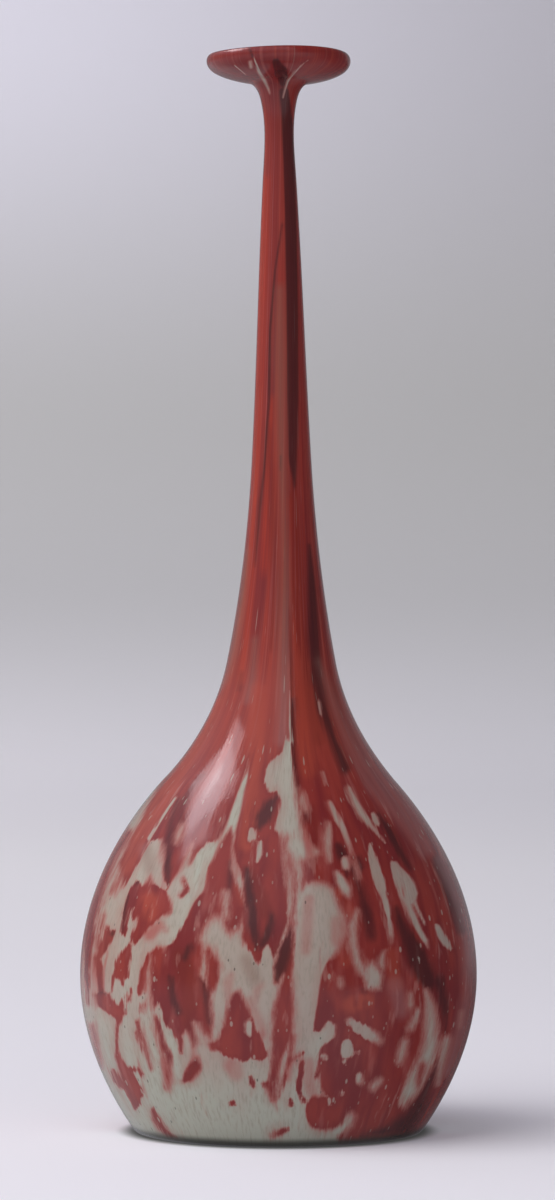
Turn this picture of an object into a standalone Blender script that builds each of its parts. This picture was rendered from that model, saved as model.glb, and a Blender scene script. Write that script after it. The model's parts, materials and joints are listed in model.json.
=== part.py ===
"""Free-blown glass bottle: a squat round body, a long tapering neck and a wide flat lip.

Metres, +Z up. The bottle is one piece of glass, so it is one closed wall: an outer outline through
named stations, an inner outline one wall thickness inside it, and a spin around the upright axis.
The origin is the centre of the resting ring, on the surface that the bottle stands on. Heights up
to the waist of the neck are measured from there, and the drops of the lip from the very top.
"""

import math
from collections import namedtuple

import bmesh
import bpy
from mathutils import Vector
from mathutils.geometry import interpolate_bezier

HEIGHT = 0.3300

# Underside: a flat resting ring around a pushed-up middle
FOOT_RADIUS = 0.0430
FOOT_RING_WIDTH = 0.0055
KICK_HEIGHT = 0.0070
KICK_LEAN = 112.0
FLOOR_WALL = 0.0042

# Heel, where the body turns under to the foot
HEEL_HEIGHT = 0.0027
HEEL_OVERHANG = 0.0028
HEEL_LEAN = 33.5
HEEL_WALL = 0.0038

# Body and shoulder
BELLY_HEIGHT = 0.0480
BELLY_RADIUS = 0.0608
BELLY_WALL = 0.0025
SHOULDER_HEIGHT = 0.1079
SHOULDER_RADIUS = 0.0352
SHOULDER_LEAN = -42.0
SHOULDER_WALL = 0.0023

# Neck, from its root on the shoulder over its waist to the throat
NECK_ROOT_HEIGHT = 0.1437
NECK_ROOT_RADIUS = 0.0167
NECK_ROOT_LEAN = -11.1
NECK_ROOT_WALL = 0.0022
NECK_WAIST_HEIGHT = 0.2065
NECK_WAIST_RADIUS = 0.0091
NECK_WAIST_LEAN = -3.1
NECK_WAIST_WALL = 0.0018
THROAT_DROP = 0.0387
THROAT_RADIUS = 0.0052
THROAT_LEAN = -3.2
THROAT_WALL = 0.0013

# Lip: the throat flares into a flange with a thick, fire-rounded edge
FLARE_DROP = 0.0138
FLARE_STEP = 0.0004
FLARE_LEAN = 12.9
FLARE_WALL = 0.0015
FLANGE_DROP = 0.0084
FLANGE_STEP = 0.0046
FLANGE_LEAN = 80.0
FLANGE_WALL = 0.0026
LIP_RADIUS = 0.0221
LIP_EDGE_DROP = 0.0020
LIP_CREST_INSET = 0.0015
LIP_UNDER_DROP = 0.0056
LIP_UNDER_INSET = 0.0026
LIP_UNDER_LEAN = 62.4
LIP_WALL = 0.0036

# Hand-made irregularity: the neck bows sideways, most of all low down, and the lip is wavy
NECK_BOW = 0.0010
BOW_SKEW = 0.6
LIP_WAVE = 0.0003

# How finely the curved faces are cut into flat ones
SEGMENTS = 54
FLOOR_STEPS = 3
OUTER_STEPS = (7, 8, 6, 4, 4, 4, 3, 2, 3, 3)
INNER_STEPS = (6, 7, 5, 3, 4, 4, 3, 2, 2)

GLASS_RED = (0.36, 0.06, 0.05, 1.0)
GLASS_ROUGHNESS = 0.12
GLASS_IOR = 1.5
SMOOTH_ANGLE = 35.0
MERGE_DISTANCE = 1e-6

# A place on the outline: its height and radius, the way the outline runs there in degrees out from
# straight up, and how thick the glass is there
Station = namedtuple("Station", "height radius lean wall", defaults=[0.0])

HEEL = Station(HEEL_HEIGHT, FOOT_RADIUS + HEEL_OVERHANG, HEEL_LEAN, HEEL_WALL)
BELLY = Station(BELLY_HEIGHT, BELLY_RADIUS, 0.0, BELLY_WALL)
SHOULDER = Station(SHOULDER_HEIGHT, SHOULDER_RADIUS, SHOULDER_LEAN, SHOULDER_WALL)
NECK_ROOT = Station(NECK_ROOT_HEIGHT, NECK_ROOT_RADIUS, NECK_ROOT_LEAN, NECK_ROOT_WALL)
NECK_WAIST = Station(NECK_WAIST_HEIGHT, NECK_WAIST_RADIUS, NECK_WAIST_LEAN, NECK_WAIST_WALL)
THROAT = Station(HEIGHT - THROAT_DROP, THROAT_RADIUS, THROAT_LEAN, THROAT_WALL)
FLARE = Station(HEIGHT - FLARE_DROP, THROAT_RADIUS + FLARE_STEP, FLARE_LEAN, FLARE_WALL)
FLANGE = Station(HEIGHT - FLANGE_DROP, THROAT_RADIUS + FLANGE_STEP, FLANGE_LEAN, FLANGE_WALL)
LIP_UNDER = Station(HEIGHT - LIP_UNDER_DROP, LIP_RADIUS - LIP_UNDER_INSET, LIP_UNDER_LEAN, LIP_WALL)
LIP_EDGE = Station(HEIGHT - LIP_EDGE_DROP, LIP_RADIUS, 0.0)

# The stations that both walls pass, from the foot up
CLIMB = [HEEL, BELLY, SHOULDER, NECK_ROOT, NECK_WAIST, THROAT, FLARE, FLANGE, LIP_UNDER]


def clear_scene():
    """Removes the objects that a new Blender file starts with."""
    for thing in list(bpy.data.objects):
        bpy.data.objects.remove(thing, do_unlink=True)


def along(lean):
    """Unit vector, radius and height, of an outline that leans this far out from straight up."""
    angle = math.radians(lean)
    return Vector((math.sin(angle), math.cos(angle)))


def place(station):
    """Radius and height of a station."""
    return Vector((station.radius, station.height))


def inside(station):
    """The same station on the inner wall, one wall thickness in from the outer outline."""
    run = along(station.lean)
    outwards = Vector((run.y, -run.x))
    inner = place(station) - outwards * station.wall
    return Station(inner.y, inner.x, station.lean)


def arc(start, end, steps):
    """Points of a smooth curve between two stations, without its last point.

    Its handles are as long as a circle's would be, where the two leans allow a circle.
    """
    turn = math.radians(end.lean - start.lean)
    here, there = place(start), place(end)
    handle = (there - here).length / (3 * math.cos(turn / 4) ** 2)
    points = interpolate_bezier(
        here.to_3d(),
        (here + along(start.lean) * handle).to_3d(),
        (there - along(end.lean) * handle).to_3d(),
        there.to_3d(),
        steps + 1,
    )
    return [point.to_2d() for point in points[:-1]]


def chain(stations, steps):
    """Points of the smooth curves through these stations, without the last one's point."""
    points = []
    for start, end, count in zip(stations[:-1], stations[1:], steps, strict=True):
        points += arc(start, end, count)
    return points


def underside():
    """From the middle of the underside out over the flat resting ring to the heel."""
    middle = Station(KICK_HEIGHT, 0.0, 90.0)
    ring_inner = Station(0.0, FOOT_RADIUS - FOOT_RING_WIDTH, KICK_LEAN)
    ring_outer = Station(0.0, FOOT_RADIUS, 90.0)
    ring = [place(ring_inner)]
    return arc(middle, ring_inner, FLOOR_STEPS) + ring + arc(ring_outer, HEEL, FLOOR_STEPS)


def outer_wall():
    """From the heel up the outside and around the edge of the lip to its crest."""
    crest = Station(HEIGHT, LIP_RADIUS - LIP_CREST_INSET, -90.0)
    return chain(CLIMB + [LIP_EDGE, crest], OUTER_STEPS)


def inner_wall():
    """From the crest of the lip down the inside to the middle of the floor."""
    middle = Station(KICK_HEIGHT + FLOOR_WALL, 0.0, 90.0)
    trough = Station(FLOOR_WALL, FOOT_RADIUS - FOOT_RING_WIDTH / 2, 90.0)
    crest = Station(HEIGHT, LIP_RADIUS - LIP_CREST_INSET, 90.0)
    floor = arc(middle, trough, FLOOR_STEPS) + arc(trough, inside(HEEL), 2)
    wall = chain([inside(station) for station in CLIMB] + [crest], INNER_STEPS)
    return [place(crest)] + list(reversed(floor + wall))


def worked_by_hand(point):
    """Where a point of the true turned form lies once the neck has bowed and the lip has sagged."""
    x, y, z = point
    climbed = (z - SHOULDER_HEIGHT) / (HEIGHT - SHOULDER_HEIGHT)
    bow = NECK_BOW * math.sin(math.pi * min(max(climbed, 0.0), 1.0) ** BOW_SKEW)
    wave = 0.0
    if z > THROAT.height:
        reach = math.hypot(x, y) / LIP_RADIUS
        wave = LIP_WAVE * reach**2 * math.sin(2 * math.atan2(x, -y))
    return Vector((x + bow, y, z + wave))


def marbled_glass():
    material = bpy.data.materials.new("marbled_glass")
    material.use_nodes = True
    shader = material.node_tree.nodes["Principled BSDF"]
    shader.inputs["Base Color"].default_value = GLASS_RED
    shader.inputs["Roughness"].default_value = GLASS_ROUGHNESS
    shader.inputs["Metallic"].default_value = 0.0
    shader.inputs["IOR"].default_value = GLASS_IOR
    material.diffuse_color = GLASS_RED
    return material


def bottle():
    """Spins the outline into one closed wall, hollow and open at the mouth."""
    outline = underside() + outer_wall() + inner_wall()
    bm = bmesh.new()
    verts = [bm.verts.new((point.x, 0.0, point.y)) for point in outline]
    edges = [bm.edges.new(pair) for pair in zip(verts, verts[1:])]
    bmesh.ops.spin(
        bm,
        geom=verts + edges,
        cent=(0.0, 0.0, 0.0),
        axis=(0.0, 0.0, 1.0),
        angle=2 * math.pi,
        steps=SEGMENTS,
        use_merge=True,
    )
    bmesh.ops.remove_doubles(bm, verts=bm.verts, dist=MERGE_DISTANCE)
    bmesh.ops.recalc_face_normals(bm, faces=bm.faces)
    for vert in bm.verts:
        vert.co = worked_by_hand(vert.co)
    mesh = bpy.data.meshes.new("bottle")
    bm.to_mesh(mesh)
    bm.free()
    mesh.shade_smooth()
    mesh.set_sharp_from_angle(angle=math.radians(SMOOTH_ANGLE))
    mesh.materials.append(marbled_glass())
    thing = bpy.data.objects.new("bottle", mesh)
    bpy.context.scene.collection.objects.link(thing)


clear_scene()
bottle()
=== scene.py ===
# %% [markdown]
# # A marbled glass bottle
#
# This lesson dresses a free-blown glass bottle: a squat round body, a long tapering neck and a wide
# flat lip, blown from a gather of pale glass that was rolled over chips of red and brown glass.
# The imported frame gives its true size. Everything here is in metres, with Z up.

# %% Load the frame
import json
import math
from collections import namedtuple

import bmesh
import bpy
import numpy as np
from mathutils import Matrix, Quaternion, Vector
from mathutils.geometry import interpolate_bezier

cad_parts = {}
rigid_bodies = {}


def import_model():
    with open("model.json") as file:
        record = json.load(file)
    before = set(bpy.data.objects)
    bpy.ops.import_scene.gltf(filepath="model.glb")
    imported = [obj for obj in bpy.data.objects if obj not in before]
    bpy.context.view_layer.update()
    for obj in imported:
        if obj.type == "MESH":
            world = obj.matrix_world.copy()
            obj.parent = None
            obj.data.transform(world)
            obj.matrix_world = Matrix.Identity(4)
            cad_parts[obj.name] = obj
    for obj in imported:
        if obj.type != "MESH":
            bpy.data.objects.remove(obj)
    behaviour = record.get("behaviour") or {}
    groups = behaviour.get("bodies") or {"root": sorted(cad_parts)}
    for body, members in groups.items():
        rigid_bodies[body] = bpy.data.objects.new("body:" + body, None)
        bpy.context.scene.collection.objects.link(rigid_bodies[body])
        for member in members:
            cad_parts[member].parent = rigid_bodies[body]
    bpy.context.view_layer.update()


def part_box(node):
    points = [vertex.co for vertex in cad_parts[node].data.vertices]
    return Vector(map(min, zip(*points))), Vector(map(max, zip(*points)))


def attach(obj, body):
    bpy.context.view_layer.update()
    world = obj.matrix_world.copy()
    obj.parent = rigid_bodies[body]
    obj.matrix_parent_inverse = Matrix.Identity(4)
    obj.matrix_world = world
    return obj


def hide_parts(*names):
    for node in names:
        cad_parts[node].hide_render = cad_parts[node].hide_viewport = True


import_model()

LOWEST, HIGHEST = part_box("bottle")
print("the frame's bottle is", [round(side * 1000, 1) for side in HIGHEST - LOWEST], "mm")

# %% [markdown]
# ## The camera
#
# The photograph was taken from far away with a long lens, level with the root of the bottle's neck. A
# level camera keeps upright edges upright, so the lens is shifted instead of tilted: the horizon then
# lies below the middle of the picture while the camera still looks straight ahead.

# %% Camera at the photograph's place
SHOT_WIDTH, SHOT_HEIGHT = 555, 1200
FOCAL_PIXELS = 4146.0
HORIZON_ROW = 637.1
EYE = Vector((-0.0003, -1.2725, 0.1513))
SENSOR = 36.0

lens_data = bpy.data.cameras.new("camera")
lens_data.sensor_width = SENSOR
lens_data.lens = SENSOR * FOCAL_PIXELS / SHOT_HEIGHT
lens_data.shift_y = (HORIZON_ROW - SHOT_HEIGHT / 2) / SHOT_HEIGHT
camera = bpy.data.objects.new("camera", lens_data)
camera.location = EYE
camera.rotation_euler = (math.radians(90), 0.0, 0.0)
bpy.context.scene.collection.objects.link(camera)
bpy.context.scene.camera = camera
print(f"lens {lens_data.lens:.1f} mm, {-EYE.y:.2f} m away")

# %% [markdown]
# ## The outline
#
# A blown bottle is a turned form, so one outline spun around the upright axis makes it. The outline
# runs through stations: places where the glassblower's tools and breath set a radius, and where the
# outline leans a known way. Between two stations runs a curve whose handles would draw an arc of a
# circle wherever the two leans allow one. The stations are the frame's own, cut finer here because
# the marbling is painted on the mesh's points.

# %% Stations of the wall
HEIGHT = 0.3300
FOOT_RADIUS, FOOT_RING = 0.0430, 0.0055
KICK_HEIGHT, KICK_LEAN = 0.0070, 112.0
FLOOR_WALL = 0.0042
LIP_RADIUS, LIP_CREST_INSET = 0.0221, 0.0015
THROAT_RADIUS, THROAT_HEIGHT = 0.0052, 0.2913

Station = namedtuple("Station", "height radius lean wall")
HEEL = Station(0.0027, 0.0458, 33.5, 0.0038)
BELLY = Station(0.0480, 0.0608, 0.0, 0.0025)
SHOULDER = Station(0.1079, 0.0352, -42.0, 0.0023)
NECK_ROOT = Station(0.1437, 0.0167, -11.1, 0.0022)
NECK_WAIST = Station(0.2065, 0.0091, -3.1, 0.0018)
THROAT = Station(THROAT_HEIGHT, THROAT_RADIUS, -3.2, 0.0013)
FLARE = Station(HEIGHT - 0.0138, THROAT_RADIUS + 0.0004, 12.9, 0.0015)
FLANGE = Station(HEIGHT - 0.0084, THROAT_RADIUS + 0.0046, 80.0, 0.0026)
LIP_UNDER = Station(HEIGHT - 0.0056, LIP_RADIUS - 0.0026, 62.4, 0.0036)
LIP_EDGE = Station(HEIGHT - 0.0020, LIP_RADIUS, 0.0, 0.0036)
CREST_OUT = Station(HEIGHT, LIP_RADIUS - LIP_CREST_INSET, -90.0, 0.0)
CREST_IN = Station(HEIGHT, LIP_RADIUS - LIP_CREST_INSET, 90.0, 0.0)
print("wall", SHOULDER.wall * 1000, "mm at the shoulder,", THROAT.wall * 1000, "mm at the throat")

# %% Curves between stations
def along(lean):
    """Unit vector, radius and height, of an outline that leans this far out from straight up."""
    return Vector((math.sin(math.radians(lean)), math.cos(math.radians(lean))))


def place(station):
    return Vector((station.radius, station.height))


def inside(station):
    """The same station on the inner wall, one wall thickness in."""
    run = along(station.lean)
    inner = place(station) - Vector((run.y, -run.x)) * station.wall
    return Station(inner.y, inner.x, station.lean, 0.0)


def arc(start, end, steps):
    """Points of a smooth curve between two stations, both ends included."""
    turn = math.radians(end.lean - start.lean)
    here, there = place(start), place(end)
    handle = (there - here).length / (3 * math.cos(turn / 4) ** 2)
    points = interpolate_bezier(
        here.to_3d(),
        (here + along(start.lean) * handle).to_3d(),
        (there - along(end.lean) * handle).to_3d(),
        there.to_3d(),
        steps + 1,
    )
    return [point.to_2d() for point in points]


def chain(stations, steps):
    """Points of the curves through these stations, both ends included."""
    points = [place(stations[0])]
    for start, end, count in zip(stations[:-1], stations[1:], steps, strict=True):
        points += arc(start, end, count)[1:]
    return points


quarter = arc(HEEL, BELLY, 4)[1]
print(f"a quarter of the way up to the belly the wall is {quarter.x * 1000:.1f} mm from the axis")

# %% The four stretches of the outline
SIDE = [HEEL, BELLY, SHOULDER]
NECK = [SHOULDER, NECK_ROOT, NECK_WAIST, THROAT, FLARE, FLANGE, LIP_UNDER, LIP_EDGE, CREST_OUT]
SIDE_STEPS = (44, 60)
NECK_STEPS = (32, 28, 30, 12, 10, 14, 10, 7)
INNER_STEPS = (7, 9, 6, 5, 5, 4, 3, 3, 4)
FLOOR_STEPS = 5

foot_middle = Station(KICK_HEIGHT, 0.0, 90.0, 0.0)
ring_inner = Station(0.0, FOOT_RADIUS - FOOT_RING, KICK_LEAN, 0.0)
ring_outer = Station(0.0, FOOT_RADIUS, 90.0, 0.0)
floor_middle = Station(KICK_HEIGHT + FLOOR_WALL, 0.0, 90.0, 0.0)
trough = Station(FLOOR_WALL, FOOT_RADIUS - FOOT_RING / 2, 90.0, 0.0)

underside = arc(foot_middle, ring_inner, FLOOR_STEPS) + arc(ring_outer, HEEL, FLOOR_STEPS)
side = chain(SIDE, SIDE_STEPS)
neck = chain(NECK, NECK_STEPS)
inner_stations = [inside(station) for station in SIDE + NECK[1:-2]] + [CREST_IN]
inner_wall = arc(floor_middle, trough, FLOOR_STEPS) + arc(trough, inner_stations[0], 3)[1:]
inner_wall += chain(inner_stations, INNER_STEPS)[1:]
print(len(underside), "points below,", len(side), "on the side,", len(neck), "up to the lip")

# %% [markdown]
# ## Spinning the wall
#
# Every part of the outline gets its own spin, because a wide belly needs many more segments than a
# neck as thin as a finger. Where a coarse ring meets a fine one, the coarse ring's edges are cut
# until both have the same number of points, and the two rings are merged.

# %% Spin each stretch and merge the rings
SIDE_SEGMENTS = 512
NECK_SEGMENTS = SIDE_SEGMENTS // 2
INNER_SEGMENTS = SIDE_SEGMENTS // 4
MERGE = 0.00003


def spin(bm, outline, segments):
    """Adds the wall that an outline makes when it is spun around the upright axis."""
    verts = [bm.verts.new((point.x, 0.0, point.y)) for point in outline]
    edges = [bm.edges.new(pair) for pair in zip(verts, verts[1:])]
    bmesh.ops.spin(
        bm,
        geom=verts + edges,
        cent=(0.0, 0.0, 0.0),
        axis=(0.0, 0.0, 1.0),
        angle=2 * math.pi,
        steps=segments,
        use_merge=True,
    )


def cut_ring(bm, point, cuts):
    """Cuts every edge of the ring at this outline point into cuts + 1."""
    ring = []
    for edge in bm.edges:
        ends = [Vector((math.hypot(v.co.x, v.co.y), v.co.z)) for v in edge.verts]
        if all((end - point).length < MERGE for end in ends):
            ring.append(edge)
    bmesh.ops.subdivide_edges(bm, edges=ring, cuts=cuts)
    for vert in bm.verts:
        reach = math.hypot(vert.co.x, vert.co.y)
        if abs(vert.co.z - point.y) < MERGE and abs(reach - point.x) < MERGE:
            vert.co.x *= point.x / reach
            vert.co.y *= point.x / reach
    return len(ring)


shell = bmesh.new()
# an outline, its segments, the point of it that meets a finer ring, cuts in each edge of that ring
for outline, segments, joint, cuts in (
    (inner_wall, INNER_SEGMENTS, inner_wall[-1], 1),
    (underside, INNER_SEGMENTS, side[0], 3),
    (neck, NECK_SEGMENTS, side[-1], 1),
    (side, SIDE_SEGMENTS, side[-1], 0),
):
    stretch = bmesh.new()
    spin(stretch, outline, segments)
    bmesh.ops.remove_doubles(stretch, verts=stretch.verts, dist=MERGE / 10)
    if cuts:
        print("cut", cut_ring(stretch, joint, cuts), "edges of a ring in", cuts + 1)
    handed = bpy.data.meshes.new("stretch")
    stretch.to_mesh(handed)
    stretch.free()
    shell.from_mesh(handed)
    bpy.data.meshes.remove(handed)

bmesh.ops.remove_doubles(shell, verts=shell.verts, dist=MERGE)
bmesh.ops.recalc_face_normals(shell, faces=shell.faces)
open_edges = sum(not edge.is_manifold for edge in shell.edges)
print(len(shell.verts), "points, open edges:", open_edges)

# %% [markdown]
# The closed shell becomes a mesh, and the mesh gets an object that stays at the origin, unturned and
# unscaled, as the frame's own nodes do.

# %% Mesh and object
glass = bpy.data.meshes.new("marbled_bottle")
shell.to_mesh(glass)
shell.free()
bottle = bpy.data.objects.new("marbled_bottle", glass)
bpy.context.scene.collection.objects.link(bottle)
triangles = sum(len(face.vertices) - 2 for face in glass.polygons)
print("triangles:", triangles)

# %% [markdown]
# ## Where each point of the glass lies
#
# The marbling is worked out in numpy for all points at once. Three sets of coordinates are needed:
# the turn around the axis with the way run along the outline, for patterns that wrap the bottle; the
# pixel of the photograph where each point shows, for the patches that the photograph shows; and the
# place that each bit of glass had on the round gather before it was blown and pulled. Noise read at
# that last place comes out drawn into streaks on the neck, exactly as the real glass was.

# %% Turn, run and pixel of every point
count = len(glass.vertices)
spots = np.empty(count * 3)
glass.vertices.foreach_get("co", spots)
spots = spots.reshape(-1, 3)
turn = np.arctan2(spots[:, 0], -spots[:, 1])
reach = np.hypot(spots[:, 0], spots[:, 1])

# climb is the way along the outline, and upright the part of it that rises from heel to flange
outer = np.array([tuple(point) for point in side + neck[1:]])
climb = np.concatenate([[0.0], np.cumsum(np.linalg.norm(np.diff(outer, axis=0), axis=1))])
upright = outer[: len(side) + sum(NECK_STEPS[:5])]
run = np.interp(spots[:, 2], upright[:, 1], climb[: len(upright)])
girth = np.interp(run, climb, outer[:, 0])
print(f"the outline is {climb[-1] * 1000:.0f} mm long")


def pixels(places):
    """Column and row of the photograph where these places show."""
    depth = places[:, 1] - EYE.y
    column = SHOT_WIDTH / 2 + FOCAL_PIXELS * (places[:, 0] - EYE.x) / depth
    row = HORIZON_ROW - FOCAL_PIXELS * (places[:, 2] - EYE.z) / depth
    return np.stack([column, row], axis=1)

# %% [markdown]
# Nothing blown by hand is quite true. The neck bows sideways by a millimetre, most of all low down,
# and the lip waves up and down a little. Both are the frame's own numbers, so the dressed bottle
# lies on the plain one.

# %% Hand work on the form
NECK_BOW, BOW_SKEW = 0.0010, 0.6
LIP_WAVE = 0.0003
share = np.clip((spots[:, 2] - SHOULDER.height) / (HEIGHT - SHOULDER.height), 0.0, 1.0)
bow = NECK_BOW * np.sin(np.pi * share**BOW_SKEW)
wave = LIP_WAVE * (reach / LIP_RADIUS) ** 2 * np.sin(2 * turn)
spots[:, 0] += bow
spots[:, 2] += np.where(spots[:, 2] > THROAT_HEIGHT, wave, 0.0)
shown = pixels(spots)
PIXEL_SIZE = -EYE.y / FOCAL_PIXELS
print(f"one pixel is {PIXEL_SIZE * 1000:.3f} mm at the axis")

# %% [markdown]
# The wall isn't perfectly round. Where the glass was drawn out into the neck, a low fold ran down the
# front of the shoulder: it swells softly on its left and drops fast on its right, so it catches a
# thin line of light. A bump in the material could fake that from the front, but real relief is right
# from every side, so the points themselves are moved out.

# %% The fold on the front of the shoulder
FOLD = [(600, 288), (670, 290), (740, 291.5), (780, 294), (805, 298)]
FOLD_HEIGHT = 0.00050
FOLD_SPREAD, FOLD_STEP = 9.0, 1.6
FOLD_FADE = [600, 680, 780, 810], [0, 1, 1, 0]
OUTER_SKIN = [-0.0006, -0.0002]
FRONT = 0.3
fold_rows, fold_columns = np.array(FOLD).T
beside = shown[:, 0] - np.interp(shown[:, 1], fold_rows, fold_columns)
swell = np.where(beside < 0, np.exp(beside / FOLD_SPREAD), np.clip(1 - beside / FOLD_STEP, 0, 1))
swell *= np.interp(shown[:, 1], *FOLD_FADE) * (np.cos(turn) > FRONT)
swell *= np.interp(reach - girth, OUTER_SKIN, [0, 1])
spots[:, 0] += FOLD_HEIGHT * swell * np.sin(turn)
spots[:, 1] -= FOLD_HEIGHT * swell * np.cos(turn)
print(f"the fold stands {FOLD_HEIGHT * 1000:.2f} mm proud")

# %% [markdown]
# A gather is the round lump of glass on the pipe. Undoing the blowing is simple: every ring goes back
# to one girth, and the thin stretches of the outline shrink with their girth. A twist that grows
# towards the neck stays in, because the pipe was turning while the glass was pulled.

# %% The gather before it was blown
GATHER_RADIUS = 0.050
GATHER_TWIST = math.radians(-40.0)
PULL = 2.2
THINNEST = 0.12
mid_radius = (outer[1:, 0] + outer[:-1, 0]) / 2
shrink = np.clip(mid_radius / BELLY.radius, THINNEST, 1.0)
shrunk = np.concatenate([[0.0], np.cumsum(np.diff(climb) * shrink)])
gather_height = np.interp(run, climb, shrunk) / PULL
twist = turn + GATHER_TWIST * (run / climb[-1]) ** 2
gather = np.stack(
    [GATHER_RADIUS * np.sin(twist), -GATHER_RADIUS * np.cos(twist), gather_height], axis=1
)
print(f"the gather was {gather_height.max() * 1000:.0f} mm tall")

# %% [markdown]
# ## The patches that the photograph shows
#
# Marbled glass has no motif, only chance, so the patches are listed, as a glassblower would
# describe them: each has a name and its outline or its run, in pixels of the photograph. A run is a
# brush stroke: column, row and half its width at each of its points. From outline and runs comes one
# number for every point of the glass, its depth inside the red glass, which is less than nothing
# outside. A depth keeps an edge sharp between two points of the mesh, where a plain mask would blur.

# %% Depth inside a stroke and inside an outline
MEET = 1.2
FAR = 14.0
TINY = 1e-12


def stroke_depth(places, stroke):
    """How deep these pixels lie inside one tapering stroke, in pixels."""
    best = np.full(len(places), -np.inf)
    for (ax, ay, aw), (bx, by, bw) in zip(stroke, stroke[1:]):
        way = np.array([bx - ax, by - ay], dtype=float)
        from_start = places - (ax, ay)
        share = np.clip(from_start @ way / max(way @ way, TINY), 0.0, 1.0)
        gap = np.linalg.norm(from_start - share[:, None] * way, axis=1)
        best = np.maximum(best, aw + share * (bw - aw) - gap)
    return best


def outline_depth(places, outline):
    """How deep these pixels lie inside one closed outline, in pixels."""
    nearest = np.full(len(places), np.inf)
    within = np.zeros(len(places), dtype=bool)
    for (ax, ay), (bx, by) in zip(outline, outline[1:] + outline[:1]):
        way = np.array([bx - ax, by - ay], dtype=float)
        from_start = places - (ax, ay)
        share = np.clip(from_start @ way / (way @ way), 0.0, 1.0)
        nearest = np.minimum(nearest, np.linalg.norm(from_start - share[:, None] * way, axis=1))
        if ay != by:
            crosses = (ay > places[:, 1]) != (by > places[:, 1])
            left_of = places[:, 0] < (bx - ax) * (places[:, 1] - ay) / (by - ay) + ax
            within ^= crosses & left_of
    return np.where(within, nearest, -nearest)


def joined(places, shapes):
    """Depth inside any of the named shapes, with softly rounded joins where they meet."""
    total = np.full(len(places), -FAR / MEET)
    for shape in shapes.values():
        corners = np.array([point[:2] for point in shape])
        margin = FAR + max(point[2] if len(point) > 2 else 0.0 for point in shape)
        near = np.all((places > corners.min(0) - margin) & (places < corners.max(0) + margin), axis=1)
        measure = stroke_depth if len(shape[0]) > 2 else outline_depth
        depth = np.clip(measure(places[near], shape), -FAR, FAR)
        total[near] = np.logaddexp(total[near], depth / MEET)
    return total * MEET

# %% [markdown]
# The neck and the right side are red nearly all over, so they are one outline, and the pale glass
# that shows there is taken out of it afterwards. The left side is pale, with red patches set on it.

# %% Red glass on the neck and the right side
RED_RIGHT = {
    "neck and right side": [
        (190, 30), (370, 30), (370, 90), (310, 110), (315, 400), (340, 600), (360, 690), (400, 750),
        (440, 810), (480, 880), (500, 940), (500, 1010), (485, 1060), (460, 1110), (430, 1150),
        (342, 1150), (338, 1137), (352, 1126), (356, 1116), (348, 1108), (330, 1100), (322, 1060),
        (324, 1046), (334, 1038), (336, 1024), (327, 1023), (320, 1032), (313, 1032), (314, 1025),
        (317, 1005), (319, 990), (322, 975), (327, 962), (338, 952), (346, 936), (346, 919),
        (339, 905), (333, 888), (325, 883), (315, 881), (305, 884), (303, 890), (302, 862),
        (310, 858), (321, 853), (316, 849), (309, 842), (304, 832), (302, 822), (300, 806),
        (297, 795), (294, 780), (292, 762), (291, 742), (286, 738), (282, 752), (272, 760),
        (266, 768), (264, 780), (268, 793), (277, 792), (280, 800), (279, 812), (275, 820),
        (275, 830), (281, 838), (283, 860), (286, 880), (288, 905), (288, 920), (283, 934),
        (277, 951), (273, 959), (271, 950), (267, 944), (262, 955), (257, 966), (253, 957),
        (247, 948), (243, 935), (243, 915), (246, 905), (242, 890), (242, 870), (237, 862),
        (233, 845), (236, 830), (240, 815), (243, 798), (248, 778), (249, 757), (246, 772),
        (238, 792), (230, 812), (226, 826), (221, 836), (214, 843), (209, 841), (203, 848),
        (197, 853), (192, 863), (189, 865), (192, 852), (193, 843), (187, 852), (184, 860),
        (179, 871), (174, 878), (168, 888), (164, 879), (163, 860), (163, 848), (160, 838),
        (150, 840), (141, 855), (135, 870), (127, 882), (122, 890), (120, 875), (119, 862),
        (126, 848), (131, 836), (141, 820), (150, 802), (160, 784), (172, 766), (185, 748),
        (198, 728), (208, 708), (212, 690), (225, 600), (240, 400), (250, 110), (190, 90),
    ],
}
print(len(RED_RIGHT["neck and right side"]), "corners in the red outline")

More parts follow.
